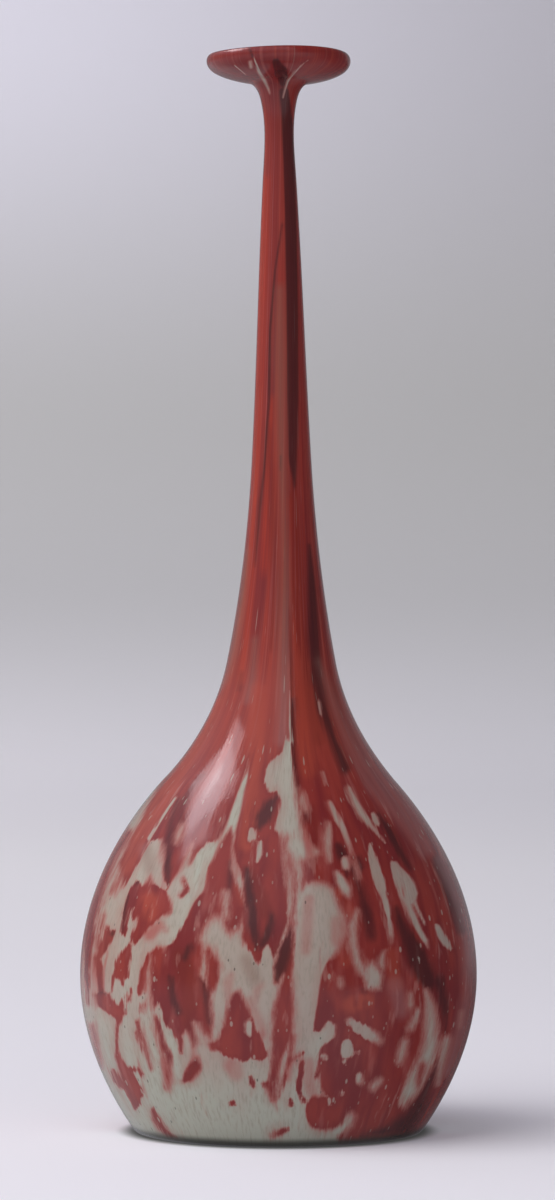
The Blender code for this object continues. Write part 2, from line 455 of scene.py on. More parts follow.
# %% Red glass on the left side, upper half
RED_LEFT = {
    "thin band down the left edge": [
        (129, 832, 3), (117, 849, 4), (109, 866, 4), (101, 884, 5), (95, 903, 5.5), (91, 920, 4.5),
        (89, 940, 4.5), (88, 956, 4), (87, 976, 3), (88, 1003, 1),
    ],
    "line inside it": [(104, 915, 0.6), (100, 930, 1.2), (97, 948, 0.8)],
    "wedge": [(120, 876, 1), (117, 884, 2.2), (113, 892, 1.5)],
    "red triangle": [
        (231, 826), (233, 838), (231, 868), (236, 880), (241, 893), (244, 908), (242, 922),
        (237, 931), (230, 932), (225, 926), (222, 915), (215, 917), (208, 921), (202, 930),
        (199, 941), (203, 949), (190, 947), (180, 941), (171, 948), (178, 933), (186, 919),
        (193, 905), (204, 890), (206, 878), (208, 868), (214, 858), (221, 843), (229, 830),
    ],
    "ragged patch": [
        (121, 932), (122, 915), (126, 900), (130, 888), (137, 881), (143, 885), (150, 877),
        (154, 884), (160, 888), (166, 891), (170, 902), (172, 912), (163, 916), (155, 922),
        (147, 930), (140, 940), (133, 946), (131, 938), (137, 924), (139, 914), (133, 920),
        (129, 928), (125, 937),
    ],
    "faint brown spots": [(184, 880, 2), (187, 890, 2.5), (181, 896, 2)],
    "small drip on the left": [(107, 928, 2), (107, 938, 4.5), (103, 948, 4.5), (100, 955, 2.5)],
    "drip's side": [(114, 931, 1.5), (108, 940, 2.5)],
    "forked drip": [(129, 946, 1.5), (125, 955, 5.5), (121, 966, 6.5), (116, 976, 2)],
    "forked drip's right": [(126, 960, 4), (126, 976, 2.5)],
    "forked drip's middle": [(122, 970, 2.5), (123, 984, 1.2)],
    "forked drip's tail": [(114, 974, 1.2), (112, 990, 1)],
    "slim dash": [(148, 956, 2.5), (144, 972, 4), (141, 985, 4), (140, 993, 2)],
    "dot under the dash": [(143, 1004, 1.6), (142, 1010, 1.6)],
    "two ticks": [(127, 990, 0.8), (126, 997, 0.8)],
    "second tick": [(131, 990, 0.8), (129, 1001, 0.8)],
    "faint drip": [(97, 958, 3), (99, 968, 4), (100, 980, 3), (101, 992, 2.5)],
}
print(len(RED_LEFT), "red shapes on the left so far")

# %% Red glass on the left side, lower half
RED_LEFT |= {
    "band across": [
        (94, 994), (110, 993), (113, 1000), (118, 1007), (122, 999), (124, 1003), (126, 1014),
        (122, 1021), (115, 1018), (106, 1012), (98, 1006),
    ],
    "thread": [(119, 1019, 1.6), (117, 1034, 1), (117, 1052, 1.4), (118, 1058, 2)],
    "drop on the thread": [
        (118, 1056, 1.5), (122, 1066, 4), (129, 1080, 7), (135, 1093, 8.5), (136, 1102, 5),
        (135, 1109, 1.5),
    ],
    "drop's left wing": [(113, 1071, 2), (117, 1080, 3.5), (123, 1087, 3)],
    "drop's right wing": [(129, 1070, 2.5), (137, 1069, 2.5), (142, 1074, 2)],
    "low dash": [(152, 1110, 2), (156, 1118, 3), (162, 1127, 3), (169, 1134, 2), (175, 1139, 1.5)],
    "edge streak low down": [(92, 1026, 1), (95, 1042, 2), (99, 1058, 1.5), (101, 1068, 0.6)],
    "thin streak": [(137, 1021, 1.5), (143, 1040, 2), (148, 1054, 1.6), (151, 1068, 0.8)],
    "thin streak's side": [(136, 1032, 0.8), (142, 1048, 1.2)],
    "streak beside it": [
        (156, 1017, 1), (158, 1028, 3), (162, 1044, 3), (168, 1056, 4), (167, 1070, 2.5),
        (167, 1088, 1.2),
    ],
    "big dark patch": [
        (150, 952), (160, 947), (170, 944), (180, 937), (192, 942), (201, 943), (203, 952),
        (201, 965), (199, 975), (206, 982), (211, 992), (212, 1005), (212, 1024), (211, 1038),
        (204, 1033), (198, 1023), (192, 1021), (194, 1030), (197, 1043), (193, 1047), (189, 1036),
        (185, 1029), (182, 1036), (183, 1055), (180, 1054), (177, 1040), (171, 1030), (164, 1021),
        (161, 1010), (158, 1003), (153, 1008), (151, 997), (150, 983), (150, 968),
    ],
    "big patch's right lobe": [(209, 952, 3), (213, 965, 6), (212, 980, 6), (209, 992, 3)],
    "triangle with a window": [
        (239, 991), (246, 1002), (251, 1015), (257, 1028), (262, 1040), (266, 1055), (261, 1061),
        (250, 1058), (243, 1062), (234, 1058), (226, 1057), (219, 1051), (210, 1050), (208, 1043),
        (216, 1040), (223, 1029), (226, 1015), (229, 1003), (233, 994),
    ],
    "drop": [(196, 1060, 2.5), (195, 1067, 6.5), (189, 1076, 5.5), (184, 1081, 2)],
    "spot by the triangle": [(251, 1078, 2), (253, 1084, 3), (255, 1088, 1.5)],
    "spot near the foot": [(233, 1103, 3), (236, 1105, 1.8)],
    "foot dash": [(274, 1135, 2), (280, 1132, 2.8), (287, 1129, 1.2)],
    "dark drop": [(293, 922, 1.2), (289, 940, 4.5), (284, 955, 6.5), (280, 968, 6.5), (276, 982, 2)],
    "long narrow drip": [
        (292, 925, 1.2), (292, 945, 2), (289, 965, 3.5), (287, 985, 5), (284, 1005, 9),
        (283, 1025, 10), (281, 1040, 9), (277, 1058, 5), (274, 1075, 4.5), (272, 1090, 4.5),
        (273, 1098, 2.5),
    ],
    "drip's heel": [(266, 1084, 3.5), (271, 1086, 4)],
    "curved thread": [
        (291, 1035, 1.8), (290, 1055, 1.6), (287, 1072, 1.6), (281, 1088, 1.8), (278, 1097, 1.5),
    ],
    "loop": [(290, 1062, 1), (296, 1057, 1.2), (303, 1053, 1.4)],
    "spot right of the drip": [(290, 1100, 2.2), (291, 1104, 2)],
    "thin dark line in the pale": [
        (285, 838, 1), (284, 846, 1), (288, 855, 1), (292, 868, 1.6), (293, 880, 1.4), (294, 900, 1),
        (293, 918, 1),
    ],
    "lobe": [(316, 1104, 8), (322, 1113, 17), (330, 1114, 15), (340, 1106, 12)],
    "round patch": [(340, 1060, 22), (345, 1078, 26)],
    "round patch's rim": [(303, 1062, 1.5), (299, 1075, 3), (299, 1090, 3.5), (303, 1101, 3)],
    "rim's upper arm": [(320, 1064, 3), (317, 1076, 2)],
}
print(len(RED_LEFT), "red shapes on the left")

# %% [markdown]
# Where the red chips didn't meet, the pale gather shows between them: slits and ovals on the
# shoulder and round windows low down. A few pale marks are painted highlights instead: the two
# glints over the edge of the lip, the glint on the fold, the glints at the right edge and the glint
# window.

# %% Pale glass inside the red
PALE_IN_RED = {
    "between the two shoulder bands": [
        (176, 797, 0.6), (166, 812, 1.2), (157, 826, 1.2), (149, 838, 1.6),
    ],
    "under the highlight": [(183, 826, 2.5), (179, 836, 3.5), (176, 843, 1.5)],
    "slit in the ragged patch": [(135, 906, 1), (132, 916, 1.6), (129, 926, 1.5)],
    "slit in the first band": [(119, 868, 1), (117, 880, 1)],
    "oval on the shoulder": [(252, 831, 3.8), (252.5, 838, 3.8)],
    "pale beside the oval": [(260, 842, 2), (259, 855, 3), (257, 862, 2)],
    "oval in the triangle": [(226, 894, 3), (226, 904, 3.8), (227, 916, 2.5)],
    "slit in the big patch": [(206, 956, 1.2), (204, 968, 2), (203, 977, 1.2)],
    "window in the lower triangle": [(248, 1025, 4.2), (248, 1032, 4)],
    "window in the round patch": [(347, 1045, 6), (347, 1052, 6)],
    "second window": [(359, 1076, 4), (359, 1081, 3.8)],
    "third window": [(344, 1092, 2.4), (344, 1095, 2)],
    "fourth window": [(373, 1087, 3.5), (378, 1083, 3.5), (381, 1080, 2)],
    "rim window": [(306, 1067, 2), (307, 1072, 2.5)],
    "window with a stone": [(323, 1056, 3), (326, 1058, 2.5)],
    "window beside the first": [(359, 1051, 1.6), (359, 1054, 1.4)],
    # painted highlight: a small glint in the round patch
    "glint window": [(344, 1062, 1.4), (346, 1064, 1.2)],
    "faint window": [(330, 1100, 1.6), (331, 1104, 1.4)],
    "arc above the round patch": [
        (350, 1021, 3.5), (357, 1027, 5.5), (366, 1032, 6), (374, 1037, 5), (379, 1041, 3),
    ],
    "arc's left part": [(329, 1024, 3.5), (331, 1032, 4.5), (327, 1040, 3)],
    "oval in the maroon": [(340, 980, 2.6), (340, 985, 2.6)],
    "window beside the block": [(385, 951, 1), (382, 960, 2.6), (382, 967, 3)],
    "pale block": [(364, 968), (372, 962), (378, 968), (383, 975), (381, 989), (366, 990), (363, 980)],
    "streak into the block": [(357, 912, 2), (352, 926, 4), (353, 945, 4), (357, 960, 4), (363, 974, 4)],
    "right shoulder streak": [
        (330, 803, 2.5), (336, 815, 3.5), (343, 828, 3), (348, 841, 2.5), (351, 853, 1),
    ],
    "upright streak": [(329, 824, 2.2), (328, 838, 4.2), (328, 850, 3.4), (330, 860, 2)],
    "outer streak": [
        (349, 789, 3), (354, 801, 4), (361, 813, 4), (368, 823, 3), (375, 831, 2), (385, 843, 1),
    ],
    "tilted oval": [(373, 814, 2), (375, 819, 3.2), (378, 824, 1.8)],
    "oval low on the shoulder": [(345, 860, 4), (346, 866, 4)],
    "wisp": [(354, 862, 1), (357, 870, 2), (358, 878, 1)],
    "streak below the oval": [(337, 873, 2.5), (341, 881, 5), (346, 890, 5), (348, 895, 2.5)],
    "long streak": [
        (369, 845, 1.5), (371, 855, 4), (375, 868, 5.5), (379, 882, 6), (382, 892, 4), (386, 905, 3),
        (389, 918, 2), (391, 935, 1.5), (392, 943, 0.8),
    ],
    "big pale patch": [
        (390, 861), (396, 861), (402, 868), (409, 875), (415, 884), (418, 893), (416, 900),
        (411, 905), (416, 916), (422, 930), (428, 940), (428, 949), (420, 937), (412, 923),
        (404, 908), (398, 892), (393, 877),
    ],
    "patch's tail": [(415, 903, 1.6), (420, 914, 1.4), (425, 924, 0.8)],
    "hazy patch": [(437, 926, 2.5), (441, 935, 4), (446, 943, 4), (451, 949, 2)],
    "small mark": [(319, 702, 0.8), (320, 714, 0.8)],
    "second small mark": [(323, 772, 0.8), (326, 784, 1)],
    "green mark": [(295, 789, 2.5), (297, 803, 3), (298, 814, 2)],
    "grey mark beside it": [(302, 797, 2.5), (305, 809, 3)],
    "low right pale": [
        (426, 991, 2), (430, 1008, 5.5), (431, 1026, 8), (431, 1044, 8.5), (426, 1060, 8.5),
        (418, 1076, 9), (410, 1090, 8), (405, 1099, 5.5), (403, 1103, 4),
    ],
    "low right pale's branch": [(447, 1040, 4), (443, 1054, 5), (441, 1068, 3), (438, 1084, 1.6)],
    "low right oval": [(405, 1042, 3), (402, 1052, 4), (399, 1062, 2.6)],
    "grey mark on the right": [(410, 995, 2.6), (410, 1005, 3)],
    "slanted grey mark": [(418, 1011, 2), (415, 1020, 3), (411, 1028, 3.4)],
    # painted highlights: glints at the right edge, a glint along the fold and two glints over the lip
    "right edge glints": [(462, 1012, 1.4), (460, 1026, 1.6)],
    "painted glint on the fold": [(289, 690, 0.4), (290, 720, 0.8), (291, 742, 2)],
    "painted glint left on the lip": [
        (253, 56, 0.4), (256, 63, 0.7), (259, 72, 1.5), (264, 80, 1.8), (268, 88, 1.2), (270, 94, 0.4),
    ],
    "painted glint right on the lip": [
        (308, 60, 0.3), (301, 66, 0.5), (294, 73, 0.8), (288, 81, 1.2), (285, 90, 0.7), (283, 98, 0.4),
    ],
    "rim spot": [(250, 62, 1.4), (251, 67, 1.6)],
    "rim dash": [(234, 65, 0.5), (239, 69, 0.5), (246, 75, 0.3)],
    "silhouette sliver": [(150, 795, 1), (140, 812, 3), (129, 829, 1.5)],
}
RED_AGAIN = {
    "finger into the low right pale": [(422, 1066, 3), (420, 1078, 2.6), (418, 1088, 1)],
}
print(len(PALE_IN_RED), "pale shapes")

# %% [markdown]
# Between the red and the pale lie other glasses: brown and nearly black streaks, orange and deep red
# ones, pink where red is thin, and greyish veils where clear glass runs over the colours. The dark
# strokes named shade on the neck, the right edge and the foot are partly painted shade on the side
# away from the light, the dark line beside the fold is painted shade, and the veils along the edges
# of the neck's root and the right side are painted sheen.

# %% Brown and near-black glass, partly painted shade
DARK = {
    "streak in the centre patch": [
        (247, 870, 3.5), (248, 885, 5), (251, 905, 5), (253, 925, 6), (256, 942, 5), (256, 950, 2),
    ],
    "right of the centre streak": [(272, 915, 3), (268, 935, 5), (262, 946, 4)],
    "dark drop": [(292, 928, 1.8), (288, 942, 5.5), (284, 955, 7.5), (280, 968, 7.5), (277, 980, 4)],
    "violet smear": [(277, 797, 2.5), (270, 806, 7), (263, 818, 8), (258, 827, 3)],
    "core of the triangle": [(230, 862, 1), (230, 880, 2.5), (229, 893, 2)],
    "left edge of the ragged patch": [(128, 896, 1), (124, 912, 2.5), (122, 930, 1.8)],
    "corner of the ragged patch": [(135, 883, 1.6), (140, 881, 1.6)],
    "tick on the ragged patch": [(151, 877, 1.4), (153, 880, 1)],
    "spot by the drip": [(113, 932, 2), (112, 934, 2)],
    "mark across the left": [(87, 992, 1.3), (100, 992, 1.6), (111, 993, 1.3)],
    "lens": [(178, 800, 1.5), (171, 822, 3), (168, 845, 4), (168, 868, 5), (167, 884, 1.5)],
    "dark line on the shoulder": [(203, 775, 1.2), (190, 790, 2), (181, 808, 1.6), (180, 824, 1.2)],
    "big patch's left shade": [(170, 978, 3), (173, 998, 4), (178, 1012, 4)],
    "big patch's right shade": [(203, 980, 4), (207, 1000, 4), (209, 1022, 3)],
    "big patch's middle": [(190, 948, 4), (185, 958, 4)],
    "shade by the streak": [(352, 868, 3), (361, 893, 5), (367, 915, 7), (371, 935, 5)],
    "shade below the oval": [(338, 846, 4), (342, 856, 6), (349, 874, 3)],
    "shade right of the oval": [(359, 858, 3), (362, 866, 4)],
    "outer shade": [(378, 815, 3), (390, 832, 5), (399, 850, 4), (410, 868, 3)],
    "near black by the patch": [
        (396, 908, 3), (402, 925, 6), (410, 942, 9), (418, 960, 11), (430, 982, 10),
    ],
    "maroon point": [(438, 980, 7), (445, 1008, 5), (445, 1030, 2)],
    # partly painted shade: these strokes darken the right edge and the foot, away from the light
    "right edge shade": [(436, 860, 4), (446, 880, 7), (455, 905, 7), (462, 930, 5)],
    "low right shade": [
        (438, 1062, 2), (434, 1074, 5), (427, 1088, 6), (420, 1104, 8), (412, 1116, 9), (398, 1126, 8),
    ],
    "foot shade": [(360, 1136, 2), (390, 1130, 5), (410, 1126, 6)],
    # partly painted shade: the neck's right side and outer strip are darkened over a dark streak
    "neck's right shade": [
        (284, 92, 5), (287, 120, 6), (289, 160, 6), (291, 220, 6), (292, 300, 6), (293, 400, 6),
        (293, 460, 5), (295, 490, 1),
    ],
    "neck's outer shade": [
        (309, 545, 1.5), (312, 590, 5), (314, 640, 6), (317, 680, 6), (323, 710, 6), (333, 740, 5),
        (345, 768, 6),
    ],
    "neck's dark thread": [
        (282, 225, 1), (275, 270, 1.2), (270, 330, 1.4), (269, 400, 1.4), (264, 470, 1.6),
        (260, 505, 2.2), (255, 565, 1.2),
    ],
    "neck's dash": [(281, 455, 1), (280.5, 470, 1)],
    # painted shade along the step on the right of the fold
    "painted shade beside the fold": [(293, 700, 2), (292, 725, 3), (294, 760, 3), (298, 785, 2)],
    "rim centre": [(276, 62, 4), (281, 72, 7), (284, 82, 5)],
    "rim line": [(249.5, 48, 1.4), (252.5, 57, 1.4)],
    "neck's left thread": [(242, 672, 0.8), (239, 690, 0.9)],
    "block's dots": [(363, 991, 1.6), (364, 991, 1.6)],
    "stone": [(326.7, 1057, 1.0), (326.8, 1057.5, 1.0)],
    "dark mark under the grey": [(305, 813, 2.5), (305, 820, 3)],
}
print(len(DARK), "brown and near-black shapes")

# %% Orange and deep red glass
WARM = {
    "left shoulder band": [(215, 700, 6), (190, 750, 8), (165, 795, 10), (140, 835, 9), (126, 870, 5)],
    "shoulder streak": [(258, 690, 8), (255, 760, 7), (251, 800, 8), (246, 845, 6)],
    "neck's left strip": [
        (264, 180, 5), (261, 270, 6), (259, 360, 5), (256, 450, 4), (253, 530, 4), (250, 590, 4),
        (246, 640, 4), (242, 680, 3),
    ],
    "neck's middle strip": [(272, 400, 3), (268, 470, 4), (266, 530, 5), (264, 570, 4)],
    "neck's right strip": [
        (291, 500, 3), (295, 540, 6), (297, 600, 7), (300, 660, 7), (303, 720, 8), (308, 770, 8),
    ],
    "by the dark fold": [(312, 690, 2), (316, 730, 2)],
    "triangle's edge": [(238, 885, 3), (242, 902, 3)],
    "above the streak": [(338, 892, 4), (348, 908, 5), (356, 918, 3)],
    "block's left": [(340, 950, 7), (345, 960, 7)],
    "under the block": [(368, 1000, 7), (350, 1005, 8)],
    "right of the block": [(392, 955, 7), (396, 985, 7)],
    "patch in the ragged": [(150, 900, 8), (150, 915, 6)],
}
DEEP = {
    "centre patch": [(250, 872, 5), (257, 895, 9), (265, 912, 8)],
    "right of the tongue": [(312, 808, 4), (315, 830, 6), (312, 858, 6), (308, 880, 2)],
    "big dark patch": [(180, 955, 8), (189, 980, 11), (190, 1005, 9), (188, 1025, 5)],
    "drop": [(196, 1062, 4), (190, 1074, 4)],
    "neck's right": [
        (292, 470, 3), (296, 540, 5), (299, 600, 7), (304, 650, 6), (311, 700, 6), (318, 740, 6),
    ],
    "neck's middle": [(268, 430, 3), (273, 520, 4), (276, 600, 4), (273, 650, 3)],
    "rim's left": [(215, 60, 8), (240, 60, 8), (262, 56, 8)],
}
print(len(WARM), "orange and", len(DEEP), "deep red shapes")

# %% Pink and grey glass
PINK = {
    "right of the triangle": [(237, 845, 4), (236, 862, 5), (237, 874, 3)],
    "middle of the pale column": [(309, 900, 5), (307, 925, 6), (306, 950, 5)],
    "top of the pale column": [(306, 838, 4), (310, 852, 5)],
    "left limb": [(95, 958, 4), (98, 975, 5), (100, 990, 4)],
    "left of the lower triangle": [(228, 982, 5), (229, 1000, 4)],
    "below the triangle": [(233, 1066, 9), (236, 1074, 7)],
    "round patch's left": [(309, 1062, 5), (309, 1080, 7), (313, 1095, 6)],
    "between the lobes": [(356, 1108, 6), (362, 1118, 8), (366, 1128, 5)],
    "soft left of the streak": [(338, 922, 7), (338, 940, 7)],
    "dot in the pale": [(231, 975, 3), (231, 977, 3)],
    "right flank of the lower triangle": [(250, 1000, 4), (258, 1020, 5), (262, 1035, 4)],
    "right of the drip": [(262, 985, 2.5), (257, 990, 4), (256, 1001, 2.5)],
    "low left": [(165, 1062, 5), (170, 1080, 6)],
    "behind the curved thread": [(291, 1060, 3), (288, 1078, 3)],
    "stem above the drop": [(194, 1050, 3), (194, 1058, 3)],
    "under the ragged patch": [(150, 935, 6), (160, 925, 5), (166, 930, 3)],
    "beside the arc": [(392, 1000, 7), (394, 1025, 6)],
}
VEILS_AND_SHEEN = {
    "grey strip beside the fold": [
        (280, 290, 3), (280, 360, 5), (281, 440, 4), (283, 500, 2.5), (285, 560, 3), (284, 620, 5),
        (284, 690, 6), (282, 740, 6),
    ],
    # painted sheen: a painted reflection along the left edge of the neck's root
    "left of the neck's root": [(247, 550, 2), (241, 600, 4), (232, 650, 6), (222, 680, 5)],
    "above the shoulder streak": [(255, 640, 2), (252, 680, 3), (247, 700, 3)],
    # painted sheen: painted reflections along the right shoulder and down the right side
    "right shoulder": [
        (318, 660, 2), (335, 705, 5), (352, 745, 7), (375, 785, 9), (400, 815, 8), (425, 850, 7),
    ],
    "right side": [
        (440, 860, 6), (458, 900, 6), (468, 940, 5), (470, 990, 6), (462, 1030, 7), (448, 1070, 7),
    ],
    "below the block": [(395, 985, 8), (402, 1010, 8)],
    "first pale patch": [(146, 850, 6), (150, 868, 6)],
    "pale bay": [(246, 960, 6), (254, 978, 7)],
}
print(len(PINK), "pink and", len(VEILS_AND_SHEEN), "grey shapes")

# %% [markdown]
# ## The sides and the back
#
# The photograph doesn't show the back, so its patches are dealt out by a seeded draw: long fingers
# that run down from the red neck, drips and blots on the body, pale slits in the fingers. They are
# strokes of the same kind, but in a turn around the axis and a run along the outline, so they bend
# with the glass. Near the edge of what the camera sees, one set fades into the other.

# %% Strokes that wrap the bottle
DRAW = np.random.default_rng(11)
MILLIMETRE = 0.001
USUAL_LENGTH = 0.06
THINNEST_HALF = 0.0003
BLUNT, FULL = 0.12, 0.6
UNEVEN = (0.7, 1.2)
WRAP_FAR = 0.005
WRAP_MEET = 0.0004


def around(angle):
    """The same angle between half a turn back and half a turn on."""
    return (angle + math.pi) % (2 * math.pi) - math.pi


def wrapped_depth(stroke, near):
    """How deep the near points lie inside a stroke of turn, run and half width, in metres."""
    best = np.full(near.sum(), -WRAP_FAR)
    for (a_turn, a_run, a_half), (b_turn, b_run, b_half) in zip(stroke, stroke[1:]):
        a_side = around(a_turn - turn[near]) * girth[near]
        b_side = around(b_turn - turn[near]) * girth[near]
        ahead = np.stack([a_side, a_run - run[near]], axis=1)
        way = np.stack([b_side, b_run - run[near]], axis=1) - ahead
        share = np.clip(-(ahead * way).sum(1) / np.maximum((way * way).sum(1), TINY), 0.0, 1.0)
        gap = np.linalg.norm(ahead + share[:, None] * way, axis=1)
        best = np.maximum(best, a_half + share * (b_half - a_half) - gap)
    return best


def drawn_stroke(top, length, half, middle, drift, bends=5):
    """One wandering stroke down the glass, widest at about the middle of its length."""
    stroke = []
    drift *= length / USUAL_LENGTH
    heading = DRAW.normal(0.0, drift)
    where = middle
    for step in range(bends + 1):
        share = step / bends
        width = half * math.sin(math.pi * min(BLUNT + (1 - BLUNT) * share, 1.0)) ** FULL
        width = width * DRAW.uniform(*UNEVEN) + THINNEST_HALF
        stroke.append((where, top - length * share, width))
        heading += DRAW.normal(0.0, drift)
        where += heading / bends
    return stroke


def wrapped_union(strokes):
    """How deep every point lies inside any of these strokes, in metres."""
    total = np.full(count, -WRAP_FAR / WRAP_MEET)
    for stroke in strokes:
        turns, runs, halves = np.array(stroke).T
        margin = WRAP_FAR + halves.max()
        near = (run > runs.min() - margin) & (run < runs.max() + margin)
        spread = np.ptp(turns) / 2 + margin / np.maximum(girth, margin)
        near &= np.abs(around(turn - (turns.max() + turns.min()) / 2)) < spread
        total[near] = np.logaddexp(total[near], wrapped_depth(stroke, near) / WRAP_MEET)
    return total * WRAP_MEET


print("strokes fade out", WRAP_FAR / MILLIMETRE, "mm from their edge")

# %% Dealing out the strokes
ROOT_RUN = float(np.interp(NECK_ROOT.height, upright[:, 1], climb[: len(upright)]))
# turns between which the photograph shows nothing or only the very edge
HIDDEN = (1.2, 5.1)
FINGER_TURNS = (1.0, 5.3)
FINGERS = 17
FINGER_START = ROOT_RUN + 0.02
SLITS_END = ROOT_RUN + 0.01


def dealt(number, top, length, half, drift):
    """Strokes at chance places on the sides and the back, with sizes between these limits."""
    return [
        drawn_stroke(DRAW.uniform(*top), DRAW.uniform(*length), DRAW.uniform(*half), angle, drift)
        for angle in DRAW.uniform(*HIDDEN, number)
    ]


fingers = [
    drawn_stroke(FINGER_START, DRAW.uniform(0.05, 0.13), DRAW.uniform(0.003, 0.008), angle, 0.10, 7)
    for angle in np.linspace(*FINGER_TURNS, FINGERS) + DRAW.normal(0.0, 0.08, FINGERS)
]
drips = dealt(90, (0.02, 0.120), (0.010, 0.055), (0.001, 0.008), 0.12)
slits = dealt(70, (0.03, 0.125), (0.006, 0.030), (0.0006, 0.0026), 0.10)
shades = dealt(40, (0.02, 0.15), (0.01, 0.05), (0.0008, 0.003), 0.08)
print(len(fingers), "fingers,", len(drips), "drips,", len(slits), "slits and", len(shades), "shades")

# %% Depth of the red and the dark glass at every point
red_neck = (run - ROOT_RUN) / 2
back_red = np.maximum(np.maximum(wrapped_union(fingers), wrapped_union(drips)), red_neck)
slit_depth = np.where(run > SLITS_END, -WRAP_FAR, wrapped_union(slits))
back_red = np.minimum(back_red, -slit_depth)
back_dark = wrapped_union(shades)

front_red = np.maximum(joined(shown, RED_RIGHT), joined(shown, RED_LEFT))
front_red = np.minimum(front_red, -joined(shown, PALE_IN_RED))
front_red = np.maximum(front_red, joined(shown, RED_AGAIN)) * PIXEL_SIZE
front_dark = joined(shown, DARK) * PIXEL_SIZE

EDGE_FROM, EDGE_TO = 0.05, 0.20
DEEPEST = 0.004


def eased(share):
    """A share between 0 and 1 that leaves both ends gently."""
    share = np.clip(share, 0.0, 1.0)
    return share * share * (3 - 2 * share)


facing = eased((np.cos(turn) - EDGE_FROM) / (EDGE_TO - EDGE_FROM))


def both_sides(front, back):
    """The front's depth where the camera sees the glass, the back's elsewhere, in millimetres."""
    front, back = np.clip(front, -DEEPEST, DEEPEST), np.clip(back, -DEEPEST, DEEPEST)
    return (facing * front + (1 - facing) * back) / MILLIMETRE


red_depth = both_sides(front_red, back_red)
dark_depth = both_sides(front_dark, back_dark)
print(f"red glass covers {np.mean(red_depth > 0):.0%} of the points")

# %% [markdown]
# Edges of patches stay depths, and the shader sharpens them. The tints have soft edges anyway, so
# they are stored as plain shares between 0 and 1.

# %% Soft tints
def soft(depth, spread):
    """A share that is 0 this many pixels outside a shape and 1 as many inside."""
    return eased(depth / spread * 0.5 + 0.5)


def store(name, values):
    """Writes one number or one vector for each point of the glass."""
    kind = "FLOAT_VECTOR" if values.ndim == 2 else "FLOAT"
    layer = glass.attributes.new(name, kind, "POINT")
    layer.data.foreach_set("vector" if values.ndim == 2 else "value", values.astype(np.float32).ravel())


SHARP_ANGLE = math.radians(35)
store("red", red_depth)
store("dark", dark_depth)
for name, shapes, spread in (
    ("warm", WARM, 4.0), ("pink", PINK, 4.0), ("veil_and_sheen", VEILS_AND_SHEEN, 6.0), ("deep", DEEP, 4.0),
):
    store(name, facing * soft(joined(shown, shapes), spread))
store("gather", gather)
glass.vertices.foreach_set("co", spots.ravel())
glass.update()
glass.shade_smooth()
glass.set_sharp_from_angle(angle=SHARP_ANGLE)
print("attributes:", [layer.name for layer in glass.attributes if not layer.is_internal])

# %% [markdown]
# ## Shader maths as plain expressions
#
# A glass pattern is mostly arithmetic, and arithmetic reads better as an expression than as a web of
# nodes. This class wraps one socket: adding or multiplying it adds the Math node, and its one method
# makes every other kind of node.

# %% A socket that can be calculated with
class Signal:
    """One socket of a material's nodes. Arithmetic on it adds Math nodes."""

    def __init__(self, tree, socket=None):
        self.tree = tree
        self.socket = socket

    def node(self, kind, settings, inputs, output=0):
        """Adds a node: its settings first, then the values or links of its sockets."""
        made = self.tree.nodes.new(kind)
        for name, value in settings.items():
            setattr(made, name, value)
        for name, value in inputs.items():
            if isinstance(value, Signal):
                self.tree.links.new(value.socket, made.inputs[name])
            else:
                made.inputs[name].default_value = value
        return Signal(self.tree, made.outputs[output])

    def math(self, operation, *values):
        return self.node("ShaderNodeMath", {"operation": operation}, dict(enumerate(values)))

    def __add__(self, other):
        return self.math("ADD", self, other)

    __radd__ = __add__

    def __sub__(self, other):
        return self.math("SUBTRACT", self, other)

    def __rsub__(self, other):
        return self.math("SUBTRACT", other, self)

    def __mul__(self, other):
        return self.math("MULTIPLY", self, other)

    __rmul__ = __mul__

    def __truediv__(self, other):
        return self.math("DIVIDE", self, other)

    def step(self, low, high):
        """0 below low and 1 above high, with a smooth rise between."""
        settings = {"interpolation_type": "SMOOTHSTEP"}
        return self.node(
            "ShaderNodeMapRange", settings, {"Value": self, "From Min": low, "From Max": high}
        )

    def tint(self, under, over):
        """The colour under, covered by the colour over where this signal is 1."""
        settings = {"data_type": "RGBA"}
        return self.node("ShaderNodeMix", settings, {0: self, 6: under, 7: over}, output=2)


def srgb(red, green, blue):
    """A colour as read off a picture, 0 to 255, in the linear values that a shader takes."""
    def linear(value):
        value /= 255
        return value / 12.92 if value <= 0.04045 else ((value + 0.055) / 1.055) ** 2.4

    return (linear(red), linear(green), linear(blue), 1.0)

# %% [markdown]
# ## The marbled glass
#
# The pale glass is a milky greenish grey. Over it lie the red patches, with ragged edges where chips
# of glass melted in and smooth ones where they flowed. Within the red, streaks run the way the
# glass was pulled. The surface itself is smooth and glossy, with faint waves and pits.

# %% Colours of the glass, as they would look without gloss
PALE_GREEN = srgb(160, 161, 147)
PALE_CREAM = srgb(159, 147, 135)
PALE_SHADE = srgb(134, 124, 112)
PALE_ROSE = srgb(152, 112, 102)
VEIL_AND_SHEEN_ROSE = srgb(146, 98, 96)
VEIL_AND_SHEEN_GREY = srgb(120, 88, 76)
ROSE = srgb(154, 84, 78)
BRICK = srgb(134, 49, 43)
ORANGE = srgb(156, 66, 50)
FLAME = srgb(150, 48, 34)
MAROON = srgb(111, 36, 38)
DEEP_RED = srgb(104, 34, 30)
BROWN = srgb(60, 28, 30)
STONE = srgb(40, 30, 26)
WISP = srgb(158, 104, 96)
# painted shade: the colour of the dark band where the heel turns under
HEEL_SHADE = srgb(46, 46, 38)

marbled = bpy.data.materials.new("marbled_glass_finish")
marbled.use_nodes = True
nodes = marbled.node_tree
shader = nodes.nodes["Principled BSDF"]
root = Signal(nodes)


